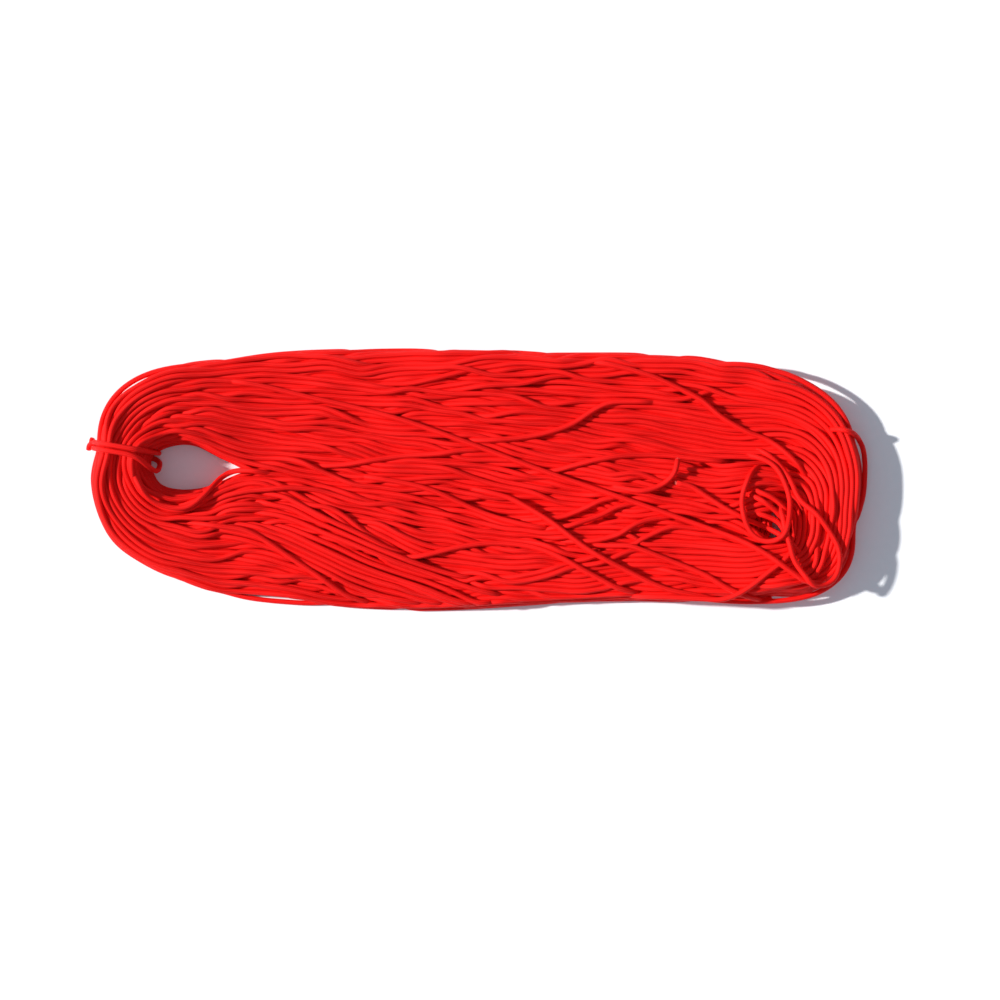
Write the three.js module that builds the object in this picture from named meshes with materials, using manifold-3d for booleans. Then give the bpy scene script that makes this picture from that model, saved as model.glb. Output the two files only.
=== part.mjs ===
// A hank of thin braided cord: about a hundred long turns laid flat, gathered and tied at one end, spread
// at the other. Millimetres, +Z up, +X along the hank from its gathered end to its spread end, origin at
// the middle of the hank on the surface that it lies on.
import * as THREE from 'three';
import { mergeVertices } from 'three/addons/utils/BufferGeometryUtils.js';
import Module from 'manifold-3d';

// Driving dimensions
const CORD = 3.0;                  // diameter of the braided cord
const CORE = 1.4;                  // diameter of the yarn core inside it
const SHEATH_BORE = 2.0;           // inside diameter of the braided sheath
const GAP = 0.3;                   // clearance between neighbouring solids
const SIDES = 8;                   // sides of every cord tube
const BODY_HEIGHT = 13.5;          // thickness of the spread turns
const EDGE_ROUND = 4;              // rounding of the spread turns' outer edge
const EDGE_STEPS = 3;
const OUTLINE_STEPS = 84;
const EYE_STEPS = 28;
const LIE_HEIGHT = BODY_HEIGHT + GAP + CORD / 2;   // centre of a strand that lies on the spread turns

// Outer edge of the turns in plan, from the middle of the gathered end, clockwise seen from above
const OUTLINE = [
  [-224, 0], [-219, 36], [-203, 57], [-181, 66], [-150, 70], [-103, 75.2], [0, 76], [80, 75], [128, 72],
  [162, 69], [186, 61], [207, 47], [218.5, 28], [221, 4], [219.5, -22], [217, -46], [208, -60], [190, -70],
  [160, -73.5], [110, -71.5], [60, -71], [-20, -76], [-80, -74.5], [-130, -70.5], [-165, -61],
  [-193, -49], [-214, -32],
];

// The eye that the gathered turns bend around: round at the left, drawn to a point at the right
const EYE = [
  [-188, 8], [-184, 16.5], [-174, 20], [-163, 19.5], [-150, 13], [-137, 6], [-148, -0.5], [-160, -4.5],
  [-173, -5.3], [-184, -2],
];

// Sections of the gathered end, from the upper arm round the eye to the lower arm: inner edge, outer
// edge, height
const GATHER = [
  { inner: [-100, 8], outer: [-100, 74], height: 13.6 },
  { inner: [-130, 8.5], outer: [-132, 71], height: 16 },
  { inner: [-150, 14], outer: [-160, 68], height: 19.5 },
  { inner: [-165, 20.3], outer: [-182, 64.5], height: 22.5 },
  { inner: [-176, 20.3], outer: [-203, 56], height: 24.5 },
  { inner: [-185, 16], outer: [-217, 38], height: 25.5 },
  { inner: [-188.6, 8], outer: [-223, 12], height: 25.5 },
  { inner: [-187, 2], outer: [-221.5, -14], height: 25.5 },
  { inner: [-182, -3.2], outer: [-212, -34], height: 24.5 },
  { inner: [-174, -5.8], outer: [-195, -47.5], height: 22.5 },
  { inner: [-162, -5.2], outer: [-172, -58], height: 19.5 },
  { inner: [-148, -1.2], outer: [-143, -67], height: 16 },
  { inner: [-118, -2], outer: [-112, -71.5], height: 13.6 },
];
const GATHER_FOOT = 3;             // inset of the gathered section's flat foot
const GATHER_POINTS = 10;          // points on the gathered section's domed top
const DOME_POWER = 0.7;            // 1 is a plain ellipse, less is squarer

// Gathering tie: two wraps across the gathered end, in the upright plane from TIE_START along TIE_ALONG
const TIE_START = [-218.4, 19.6];
const TIE_ALONG = [0.986, -0.168];
const TIE_SPACING = CORD + GAP;
// One wrap from the top of the knot, over the turns, down through the eye and back under: across, up
const TIE_WRAP = [
  [-1.6, 13.6], [0.4, 20], [6, 25.4], [15, 27.6], [24, 26.4], [31, 21.5], [33.6, 13.5], [33, 6],
  [29, 2.2], [20, 1.7], [9, 1.7], [2.4, 2.7], [-1.4, 5.4],
];
const KNOT = { across: -3.2, up: 9.5, radii: [3.9, 5, 3.2] };

// Strands that lie loose on the spread turns, in plan
const LOOSE = {
  long_crossing_strand: {
    steps: 27,
    route: [
      [-95.2, 46.8], [-74.4, 42.3], [-45.6, 34.8], [-22.5, 27], [0.6, 18.7], [36.4, 5.3], [72.7, -7.2],
      [98.7, -16.2], [127.5, -26.5], [150, -35], [166.8, -43.9],
    ],
  },
  lower_crossing_strand: {
    steps: 11,
    route: [
      [12.1, -8.7], [21.3, -12.1], [41.5, -24.2], [62.3, -39.8], [79, -49], [103.9, -61.2], [121.7, -65.4],
    ],
  },
  short_crossing_strand: {
    steps: 8,
    route: [[7.5, 22.8], [31.7, 25.4], [51.9, 31.2], [66, 40.2], [74.5, 44.2], [83.1, 45]],
  },
  loose_loop: {
    steps: 14,
    route: [
      [165.6, 11.5], [156.4, 4.6], [151.2, -5.8], [150, -14], [151.8, -23.7], [156.4, -31.7], [163.3, -35.2],
      [170.8, -33.5], [175.4, -27.1], [177.7, -12.1], [173.7, 1.2],
    ],
  },
  loose_bight: {
    steps: 12,
    route: [
      [183.5, -11.5], [193.9, -21.3], [204.3, -37.5], [205.4, -49], [201.4, -57.7], [192.1, -60.6],
      [186.4, -56], [179.4, -46.2], [177.1, -38],
    ],
  },
};

// The long cord's two cut ends, in plan, each from the cut end inwards
const ENDS = {
  finishing_end: { steps: 5, route: [[113.7, 11.5], [111.4, 3.4], [104.4, -2.9], [92.9, -6.3], [77, -3.7]] },
  starting_end: { steps: 4, route: [[113.1, -1.8], [121.7, -4], [130.4, -9.8], [141.9, -17.2]] },
};

// Side tie: over the outer turns of the spread end, then tucked down along their side
const SIDE_TIE = {
  steps: 12,
  route: [
    [202, 31.2, LIE_HEIGHT], [208.3, 30.8, 15], [214.3, 29.2, 13.2], [218.8, 26.2, 10], [222, 21, 7.4],
    [223.8, 12.7, 5.4], [224.1, 2.9, 4.6], [223.6, -6.9, 4], [222, -15, 3.4], [219.4, -22.6, 3],
  ],
};

const RED = new THREE.Color(0.78, 0.012, 0.01);
const PALE_RED = new THREE.Color(0.86, 0.12, 0.1);

const wasm = await Module();
wasm.setup();

function clothMaterial(color) {
  return new THREE.MeshStandardMaterial({ color, roughness: 0.85, metalness: 0 });
}

function meshOf(name, geometry, color = RED) {
  const mesh = new THREE.Mesh(geometry, clothMaterial(color));
  mesh.name = name;
  return mesh;
}

// Closed smooth curve through plan points, as evenly spaced Vector2 points
function smoothOutline(points, steps) {
  const curve = new THREE.CatmullRomCurve3(points.map(([x, y]) => new THREE.Vector3(x, y, 0)), true);
  return curve.getSpacedPoints(steps).slice(0, steps).map((p) => new THREE.Vector2(p.x, p.y));
}

function polygon(radius) {
  const points = [];
  for (let side = 0; side < SIDES; side += 1) {
    const angle = (2 * Math.PI * side) / SIDES;
    points.push(new THREE.Vector2(radius * Math.cos(angle), radius * Math.sin(angle)));
  }
  return points;
}

// Solid or hollow cord tube along a smooth route of Vector3 points
function tube(route, steps, radius, boreRadius = 0) {
  const section = new THREE.Shape(polygon(radius));
  if (boreRadius > 0) section.holes.push(new THREE.Path(polygon(boreRadius)));
  const extrudePath = new THREE.CatmullRomCurve3(route, false, 'centripetal');
  return new THREE.ExtrudeGeometry(section, { steps, extrudePath, bevelEnabled: false });
}

function toSolid(geometry) {
  const bare = geometry.clone();
  bare.deleteAttribute('normal');
  bare.deleteAttribute('uv');
  const merged = mergeVertices(bare, 1e-4);
  return new wasm.Manifold(new wasm.Mesh({
    numProp: 3,
    vertProperties: new Float32Array(merged.attributes.position.array),
    triVerts: new Uint32Array(merged.index.array),
  }));
}

function fromSolid(solid) {
  const { vertProperties, triVerts } = solid.getMesh();
  const geometry = new THREE.BufferGeometry();
  geometry.setAttribute('position', new THREE.BufferAttribute(new Float32Array(vertProperties), 3));
  geometry.setIndex(new THREE.BufferAttribute(new Uint32Array(triVerts), 1));
  geometry.computeVertexNormals();
  return geometry;
}

// Flat slab of the spread turns with a rounded edge
function spreadTurns() {
  const shape = new THREE.Shape(smoothOutline(OUTLINE, OUTLINE_STEPS));
  const geometry = new THREE.ExtrudeGeometry(shape, {
    depth: BODY_HEIGHT - 2 * EDGE_ROUND,
    bevelThickness: EDGE_ROUND,
    bevelSize: EDGE_ROUND,
    bevelOffset: -EDGE_ROUND,
    bevelSegments: EDGE_STEPS,
  });
  geometry.translate(0, 0, EDGE_ROUND);
  return toSolid(geometry);
}

// Domed section with a flat foot, from 0 at the inner edge to 1 at the outer edge: [across, up]
function gatherSection(width, height) {
  const section = [[GATHER_FOOT, 0]];
  for (let step = 0; step <= GATHER_POINTS; step += 1) {
    const angle = (Math.PI * step) / GATHER_POINTS;
    const up = GATHER_FOOT + (height - GATHER_FOOT) * Math.sin(angle) ** DOME_POWER;
    section.push([(width * (1 - Math.cos(angle))) / 2, up]);
  }
  section.push([width - GATHER_FOOT, 0]);
  return section;
}

// Raised C of gathered turns around the eye, lofted through its sections
function gatheredTurns() {
  const vertices = [];
  const faces = [];
  let count = 0;
  for (const { inner, outer, height } of GATHER) {
    const across = new THREE.Vector2(outer[0] - inner[0], outer[1] - inner[1]);
    const width = across.length();
    across.normalize();
    const section = gatherSection(width, height);
    count = section.length;
    for (const [out, up] of section) {
      vertices.push(inner[0] + across.x * out, inner[1] + across.y * out, up);
    }
  }
  for (let station = 0; station < GATHER.length - 1; station += 1) {
    for (let point = 0; point < count; point += 1) {
      const a = station * count + point;
      const b = station * count + ((point + 1) % count);
      faces.push(a, b, a + count, b, b + count, a + count);
    }
  }
  const last = (GATHER.length - 1) * count;
  for (let point = 1; point < count - 1; point += 1) {
    faces.push(0, point + 1, point, last, last + point, last + point + 1);
  }
  const geometry = new THREE.BufferGeometry();
  geometry.setAttribute('position', new THREE.Float32BufferAttribute(vertices, 3));
  geometry.setIndex(faces);
  return toSolid(geometry);
}

function eyePrism() {
  const shape = new THREE.Shape(smoothOutline(EYE, EYE_STEPS));
  const geometry = new THREE.ExtrudeGeometry(shape, { depth: 60, bevelEnabled: false });
  geometry.translate(0, 0, -10);
  return toSolid(geometry);
}

// Point of the gathering tie's plane: across from the outer edge, up, and sideways along the turns
function tiePoint(across, up, sideways) {
  return new THREE.Vector3(
    TIE_START[0] + TIE_ALONG[0] * across - TIE_ALONG[1] * sideways,
    TIE_START[1] + TIE_ALONG[1] * across + TIE_ALONG[0] * sideways,
    up,
  );
}

function tieWrapRoute(sideways) {
  return TIE_WRAP.map(([across, up]) => tiePoint(across, up, sideways));
}

function gatheringKnot(clearance = 0) {
  const geometry = new THREE.SphereGeometry(1, 12, 8);
  geometry.scale(...KNOT.radii.map((knotRadius) => knotRadius + clearance));
  geometry.rotateZ(Math.atan2(TIE_ALONG[1], TIE_ALONG[0]));
  const centre = tiePoint(KNOT.across, KNOT.up, 0);
  geometry.translate(centre.x, centre.y, centre.z);
  return geometry;
}

function flatRoute(points) {
  return points.map(([x, y]) => new THREE.Vector3(x, y, LIE_HEIGHT));
}

const hank = new THREE.Group();
const radius = CORD / 2;
const WRAP_STEPS = 26;

const wrapRoutes = {
  gathering_wrap_upper: tieWrapRoute(TIE_SPACING / 2),
  gathering_wrap_lower: tieWrapRoute(-TIE_SPACING / 2),
};
const sideTieRoute = SIDE_TIE.route.map((point) => new THREE.Vector3(...point));

let turns = spreadTurns().add(gatheredTurns()).subtract(eyePrism());
for (const route of Object.values(wrapRoutes)) {
  turns = turns.subtract(toSolid(tube(route, WRAP_STEPS, radius + GAP)));
}
turns = turns.subtract(toSolid(tube(sideTieRoute, SIDE_TIE.steps, radius + GAP)));
turns = turns.subtract(toSolid(gatheringKnot(GAP)));
hank.add(meshOf('wound_turns', fromSolid(turns)));

for (const [name, { route, steps }] of Object.entries(LOOSE)) {
  hank.add(meshOf(name, tube(flatRoute(route), steps, radius)));
}
for (const [name, { route, steps }] of Object.entries(ENDS)) {
  hank.add(meshOf(`${name}_sheath`, tube(flatRoute(route), steps, radius, SHEATH_BORE / 2)));
  hank.add(meshOf(`${name}_core`, tube(flatRoute(route), steps, CORE / 2), PALE_RED));
}
for (const [name, route] of Object.entries(wrapRoutes)) {
  hank.add(meshOf(name, tube(route, WRAP_STEPS, radius)));
}
hank.add(meshOf('gathering_knot', gatheringKnot()));
hank.add(meshOf('side_tie', tube(sideTieRoute, SIDE_TIE.steps, radius)));

export default hank;
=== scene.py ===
"""Looks of a hank of thin braided red cord: its turns, loose strands, cut ends and ties."""
import math

import bpy
import numpy as np
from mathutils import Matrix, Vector


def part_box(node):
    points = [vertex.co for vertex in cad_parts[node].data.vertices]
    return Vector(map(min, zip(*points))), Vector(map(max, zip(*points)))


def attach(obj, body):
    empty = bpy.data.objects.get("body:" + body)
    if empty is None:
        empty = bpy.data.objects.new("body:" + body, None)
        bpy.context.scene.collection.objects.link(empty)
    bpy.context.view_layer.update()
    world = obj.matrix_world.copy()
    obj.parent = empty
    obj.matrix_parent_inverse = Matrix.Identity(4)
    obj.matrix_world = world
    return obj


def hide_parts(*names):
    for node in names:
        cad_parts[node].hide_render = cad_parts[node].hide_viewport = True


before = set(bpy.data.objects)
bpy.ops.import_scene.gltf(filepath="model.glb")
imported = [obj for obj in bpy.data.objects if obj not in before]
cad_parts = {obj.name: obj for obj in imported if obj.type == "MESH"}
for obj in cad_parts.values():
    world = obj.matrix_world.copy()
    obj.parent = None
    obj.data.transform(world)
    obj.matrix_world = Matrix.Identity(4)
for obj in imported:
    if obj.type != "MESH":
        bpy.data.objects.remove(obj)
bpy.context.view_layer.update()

# ---------------------------------------------------------------- driving values, in metres
LOOSE_LOW, LOOSE_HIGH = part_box("long_crossing_strand")
CORD = round(LOOSE_HIGH.z - LOOSE_LOW.z, 5)  # cord diameter
RADIUS = CORD / 2
TURNS = 96  # full turns in the hank
LAYERS = 4  # the turns are wound in this many layers
PER_LAYER = TURNS // LAYERS
SHORT_TURNS = 15  # the first turns fold back early, inside the others
SHORT_PER_LAYER = 5
SIDES = 8  # sides of a cord tube
PASSES = 800  # passes of the solver that puts the strands to rest
RNG = np.random.default_rng(11)

# The hank's outer edge and the eye that its gathered end bends around, in plan, as in the CAD part
OUTLINE = [
    (-0.224, 0.0), (-0.219, 0.036), (-0.203, 0.057), (-0.181, 0.066), (-0.150, 0.070), (-0.103, 0.0752),
    (0.0, 0.076), (0.080, 0.075), (0.128, 0.072), (0.162, 0.069), (0.186, 0.061), (0.207, 0.047),
    (0.2185, 0.028), (0.221, 0.004), (0.2195, -0.022), (0.217, -0.046), (0.208, -0.060), (0.190, -0.070),
    (0.160, -0.0735), (0.110, -0.0715), (0.060, -0.071), (-0.020, -0.076), (-0.080, -0.0745),
    (-0.130, -0.0705), (-0.165, -0.061), (-0.193, -0.049), (-0.214, -0.032),
]
EYE = [
    (-0.188, 0.008), (-0.184, 0.0165), (-0.174, 0.020), (-0.163, 0.0195), (-0.150, 0.013), (-0.137, 0.006),
    (-0.148, -0.0005), (-0.160, -0.0045), (-0.173, -0.0053), (-0.184, -0.002),
]
EYE_CENTRE = np.array([-0.172, 0.008])  # the gathered end fans around this point
TURN_CENTRE = np.array([0.168, -0.026])  # the spread end's bights fan around this point
EYE_TIP = -0.137  # where the eye closes, along X
SHORT_FOLD_X = 0.146  # where the short turns start to fold, along X

# Loose strands on top of the turns, in plan, as in the CAD part
LONG_CROSSING = [
    (-0.0952, 0.0468), (-0.0744, 0.0423), (-0.0456, 0.0348), (-0.0225, 0.027), (0.0006, 0.0187),
    (0.0364, 0.0053), (0.0727, -0.0072), (0.0987, -0.0162), (0.1275, -0.0265), (0.150, -0.035),
    (0.1668, -0.0439),
]
LOWER_CROSSING = [
    (0.0121, -0.0087), (0.0213, -0.0121), (0.0415, -0.0242), (0.0623, -0.0398), (0.079, -0.049),
    (0.1039, -0.0612), (0.1217, -0.0654),
]
SHORT_CROSSING = [
    (0.0075, 0.0228), (0.0317, 0.0254), (0.0519, 0.0312), (0.066, 0.0402), (0.0745, 0.0442),
    (0.0831, 0.045),
]
LOOSE_LOOP = [
    (0.1656, 0.0115), (0.1564, 0.0046), (0.1512, -0.0058), (0.150, -0.014), (0.1518, -0.0237),
    (0.1564, -0.0317), (0.1633, -0.0352), (0.1708, -0.0335), (0.1754, -0.0271), (0.1777, -0.0121),
    (0.1737, 0.0012),
]
LOOSE_BIGHT = [
    (0.1835, -0.0115), (0.1939, -0.0213), (0.2043, -0.0375), (0.2054, -0.049), (0.2014, -0.0577),
    (0.1921, -0.0606), (0.1864, -0.056), (0.1794, -0.0462), (0.1771, -0.038),
]
# How the loop and the bight go on among the turns, beyond what the CAD part holds
LOOP_TAIL = [(0.168, 0.009), (0.158, 0.0135), (0.145, 0.0155)]
BIGHT_LEAD = [(0.152, 0.0215), (0.167, 0.0135), (0.1773, 0.0015)]
BIGHT_TAIL = [(0.1745, -0.0285), (0.1727, -0.0185), (0.1700, -0.008)]
# The two cut ends, each from its cut inwards
FINISHING_END = [(0.1137, 0.0115), (0.1114, 0.0034), (0.1044, -0.0029), (0.0929, -0.0063), (0.077, -0.0037)]
STARTING_END = [(0.1131, -0.0018), (0.1217, -0.004), (0.1304, -0.0098), (0.1419, -0.0172)]
STARTING_TAIL = [(0.152, -0.0222), (0.162, -0.0262), (0.172, -0.0315), (0.1815, -0.040), (0.189, -0.050)]
# The side tie, from its end among the turns, over them and down outside them: x, y, z
SIDE_TIE = [
    (0.202, 0.0312, 0.0153), (0.2083, 0.0308, 0.015), (0.2143, 0.0292, 0.0132), (0.2188, 0.0262, 0.010),
    (0.222, 0.021, 0.0074), (0.2238, 0.0127, 0.0054), (0.2241, 0.0029, 0.0046), (0.2236, -0.0069, 0.004),
    (0.222, -0.015, 0.0034), (0.2194, -0.0226, 0.003),
]
# A strand that leaves the gathered end's inside and crosses the eye's tip
EYE_STRAND = [
    (-0.199, 0.0087), (-0.189, -0.0089), (-0.1787, -0.0150), (-0.1664, -0.0155), (-0.156, -0.0080),
    (-0.1489, 0.0002), (-0.1426, 0.0044), (-0.1345, 0.0055), (-0.124, 0.0045), (-0.112, 0.0020),
]
SIDE_TIE_TAIL = [(0.2145, -0.0285, 0.003), (0.208, -0.032, 0.003)]

# Strands that cross over the turns, in plan, lowest first. Those of the CAD part are the short, the lower
# and the long one, and the long one has a lead before its first point there
CROSSING = {
    "edge_crossing": [
        (-0.1096, -0.0275), (-0.0946, -0.033), (-0.0793, -0.0394), (-0.064, -0.0466), (-0.0436, -0.0537),
        (-0.0283, -0.0588), (-0.013, -0.0649), (-0.0018, -0.070),
    ],
    "fan_crossing": [
        (-0.1156, -0.0088), (-0.1105, -0.0098), (-0.0952, -0.018), (-0.083, -0.0241), (-0.0736, -0.0282),
        (-0.063, -0.0333), (-0.0487, -0.0405),
    ],
    "inner_fan_crossing": [
        (-0.1185, -0.0195), (-0.110, -0.0215), (-0.1004, -0.025), (-0.0879, -0.0305), (-0.0736, -0.036),
        (-0.0589, -0.042), (-0.0436, -0.048), (-0.0283, -0.0535), (-0.013, -0.059), (0.002, -0.0635),
    ],
    "upper_fan_crossing": [
        (-0.117, -0.0145), (-0.1065, -0.0168), (-0.0952, -0.0228), (-0.0879, -0.026), (-0.0736, -0.0322),
        (-0.0589, -0.0385), (-0.0436, -0.0445), (-0.0283, -0.050), (-0.013, -0.0545),
    ],
    "close_fan_crossing": [
        (-0.130, -0.0268), (-0.1205, -0.0292), (-0.108, -0.0336), (-0.0952, -0.0395), (-0.0879, -0.0429),
        (-0.0736, -0.0496), (-0.0589, -0.0552), (-0.0436, -0.060), (-0.0283, -0.065), (-0.016, -0.070),
    ],
    "lower_fan_crossing": [
        (-0.139, -0.030), (-0.127, -0.033), (-0.1112, -0.0384), (-0.0952, -0.0458), (-0.0819, -0.0521),
        (-0.0736, -0.0563), (-0.0589, -0.0616), (-0.0436, -0.0655), (-0.032, -0.069),
    ],
    "outer_fan_crossing": [
        (-0.1255, -0.0262), (-0.1155, -0.0285), (-0.1055, -0.032), (-0.0879, -0.04), (-0.0736, -0.0465),
        (-0.0589, -0.0525), (-0.0436, -0.0578), (-0.0283, -0.063), (-0.013, -0.069),
    ],
    "low_fan_crossing": [
        (-0.136, -0.0275), (-0.1258, -0.030), (-0.1105, -0.0354), (-0.0952, -0.0425), (-0.0819, -0.0486),
        (-0.0736, -0.0527), (-0.0589, -0.0578), (-0.0436, -0.0619), (-0.0283, -0.067),
    ],
    "lowest_fan_crossing": [
        (-0.141, -0.033), (-0.128, -0.036), (-0.112, -0.0415), (-0.0952, -0.049), (-0.0819, -0.0557),
        (-0.0736, -0.060), (-0.0589, -0.0655), (-0.0436, -0.069),
    ],
    "steep_crossing": [
        (-0.148, -0.0265), (-0.140, -0.0275), (-0.1319, -0.0292), (-0.1207, -0.0354), (-0.1105, -0.0425),
        (-0.0952, -0.0527), (-0.0819, -0.0619), (-0.0736, -0.067),
    ],
    "arched_crossing": [
        (-0.0426, -0.0445), (-0.0283, -0.0425), (-0.014, -0.0389), (0.0023, -0.0364), (0.0166, -0.0364),
        (0.0309, -0.0384), (0.0431, -0.0425), (0.0584, -0.0507), (0.0717, -0.0578), (0.0806, -0.0619),
    ],
    "rising_crossing": [
        (0.100, -0.0705), (0.115, -0.0708), (0.128, -0.070), (0.1403, -0.068), (0.152, -0.0625),
        (0.1605, -0.056), (0.1668, -0.0519),
    ],
    "first_rising_fan_crossing": [
        (0.0421, -0.0221), (0.0513, -0.0201), (0.0635, -0.015), (0.0727, -0.0109),
    ],
    "second_rising_fan_crossing": [
        (0.0482, -0.0271), (0.0584, -0.0241), (0.0717, -0.0195), (0.0806, -0.0149),
    ],
    "third_rising_fan_crossing": [
        (0.064, -0.035), (0.0749, -0.0327), (0.0815, -0.0305), (0.0891, -0.0255), (0.100, -0.0222),
    ],
    "fourth_rising_fan_crossing": [
        (0.0869, -0.037), (0.100, -0.0305), (0.111, -0.0265), (0.123, -0.0276),
    ],
    "falling_crossing": [
        (0.0749, -0.0376), (0.0858, -0.0376), (0.0968, -0.0414), (0.111, -0.0469), (0.1295, -0.0545),
        (0.1448, -0.0633),
    ],
    "middle_crossing": [
        (-0.0487, -0.0007), (-0.0344, -0.0037), (-0.0222, -0.0078), (-0.0079, -0.0145), (0.0043, -0.0196),
        (0.0156, -0.0231), (0.0288, -0.0262),
    ],
    "left_crossing": [
        (-0.0793, 0.0085), (-0.066, 0.0105), (-0.0446, 0.0136), (-0.0222, 0.0151), (-0.0079, 0.0172),
    ],
    "inner_crossing": [
        (0.0411, 0.0049), (0.0533, 0.008), (0.0655, 0.0111), (0.0749, 0.0128), (0.088, 0.0142),
        (0.1077, 0.014), (0.1274, 0.0118),
    ],
    "upper_crossing": [
        (0.0815, 0.0646), (0.100, 0.0591), (0.1121, 0.0537), (0.1274, 0.046), (0.1361, 0.0384),
        (0.1427, 0.0335), (0.1515, 0.029), (0.1601, 0.025),
    ],
    "short_crossing": SHORT_CROSSING,
    "lower_crossing": LOWER_CROSSING,
    "long_crossing": [(-0.1258, 0.0539), (-0.1105, 0.0505)] + LONG_CROSSING,
}
TAIL = 0.028  # hidden length of a crossing strand past each of its ends
# How the strands that leave the run go on and end among the turns of the spread end
CROSSING_TAIL = {
    "upper_crossing": [(0.176, 0.0155), (0.185, 0.006), (0.1915, -0.005)],
    "rising_crossing": [(0.174, -0.0455), (0.180, -0.038), (0.184, -0.030)],
    "long_crossing": [(0.1765, -0.0515), (0.1865, -0.058), (0.197, -0.0575), (0.205, -0.050)],
}
# Innermost strands of the spread end, seen through the loose loop
INNER_STRANDS = [
    [(0.150, 0.001), (0.158, -0.0057), (0.1692, -0.0113), (0.1775, -0.0205), (0.183, -0.031)],
    [
        (0.147, -0.006), (0.158, -0.0098), (0.1651, -0.0144), (0.1712, -0.0195), (0.176, -0.028),
        (0.179, -0.038),
    ],
    [
        (0.148, -0.015), (0.160, -0.0195), (0.1661, -0.0215), (0.1717, -0.025), (0.1755, -0.033),
        (0.177, -0.043),
    ],
]

# The gathering tie goes round the turns in upright planes, starting outside them and running inwards
TIE_START = np.array([-0.2184, 0.0196])
TIE_ALONG = np.array([0.986, -0.168])
TIE_SPACING = 1.1 * CORD  # between the tie's two wraps

# Stations along one turn: run out on the +Y side, around the spread end, run back, around the eye
RUN = 114
TURN_FAN = 41
EYE_FAN = 33
PER_TURN = 2 * RUN + TURN_FAN + EYE_FAN


# ---------------------------------------------------------------- curves
PER_SPAN = 12  # points of a smooth curve for each span of its route


def catmull_rom(points, closed=False):
    """Dense points of a smooth curve through the given points."""
    points = np.asarray(points, float)
    if closed:
        padded = np.vstack([points[-1:], points, points[:2]])
    else:
        padded = np.vstack([2 * points[0] - points[1], points, 2 * points[-1] - points[-2]])
    t = np.linspace(0, 1, PER_SPAN, endpoint=False)[:, None]
    spans = []
    for a, b, c, d in zip(padded, padded[1:], padded[2:], padded[3:]):
        bend = (2 * a - 5 * b + 4 * c - d) * t**2 + (3 * b - a - 3 * c + d) * t**3
        spans.append(0.5 * (2 * b + (c - a) * t + bend))
    dense = np.vstack(spans)
    return dense if closed else np.vstack([dense, points[-1:]])


def smooth_step(value):
    value = np.clip(value, 0, 1)
    return value * value * (3 - 2 * value)


def blur(values, passes):
    """Passes of a 1-2-1 average along the last axis, ends held."""
    for _ in range(passes):
        middle = 0.25 * (values[..., :-2] + 2 * values[..., 1:-1] + values[..., 2:])
        values = np.concatenate([values[..., :1], middle, values[..., -1:]], -1)
    return values


# ---------------------------------------------------------------- the turns' stations
def centre_line(x):
    """Y of the line that parts the run out from the run back."""
    t = (x - EYE_CENTRE[0]) / (TURN_CENTRE[0] - EYE_CENTRE[0])
    return EYE_CENTRE[1] + t * (TURN_CENTRE[1] - EYE_CENTRE[1])


def polar_edge(edge, centre, angles):
    """Distance from a centre to a closed edge, at each angle."""
    offset = edge - centre
    around = np.arctan2(offset[:, 1], offset[:, 0])
    order = np.argsort(around)
    return np.interp(angles, around[order], np.hypot(*offset.T)[order], period=2 * math.pi)


def edge_across(edge, xs, side):
    """Distance from the centre line to a closed edge, on the +Y side (1) or the -Y side (-1)."""
    offset = (edge[:, 1] - centre_line(edge[:, 0])) * side
    kept = edge[offset > 0, 0], offset[offset > 0]
    order = np.argsort(kept[0])
    return np.interp(xs, kept[0][order], kept[1][order])


RUN_X = np.linspace(EYE_CENTRE[0], TURN_CENTRE[0], RUN)
LINE_Y = centre_line(RUN_X)
TURN_ANGLES = np.linspace(math.pi / 2, -math.pi / 2, TURN_FAN + 2)[1:-1]
EYE_ANGLES = np.linspace(-math.pi / 2, -3 * math.pi / 2, EYE_FAN + 2)[1:-1]
OUT = slice(0, RUN)
TURN = slice(RUN, RUN + TURN_FAN)
BACK = slice(RUN + TURN_FAN, 2 * RUN + TURN_FAN)
GATHER = slice(2 * RUN + TURN_FAN, PER_TURN)
TIGHTEST = 3 * CORD  # smallest bight radius
SIDE_TIE_ANGLE = math.radians(46)  # where the side tie draws the outer turns in
SIDE_TIE_WIDTH = math.radians(14)  # half the bearing over which it does
SIDE_TIE_DRAW = 0.6 * CORD  # how far it draws them in
TIE_ANGLE = math.radians(-194)  # where the gathering tie goes round the eye
TIE_WIDTH = math.radians(24)
TIE_DRAW = 0.8 * CORD
BIGHT_LEAD_IN = 0.017  # length over which the innermost strands part for the spread end's bights


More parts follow.
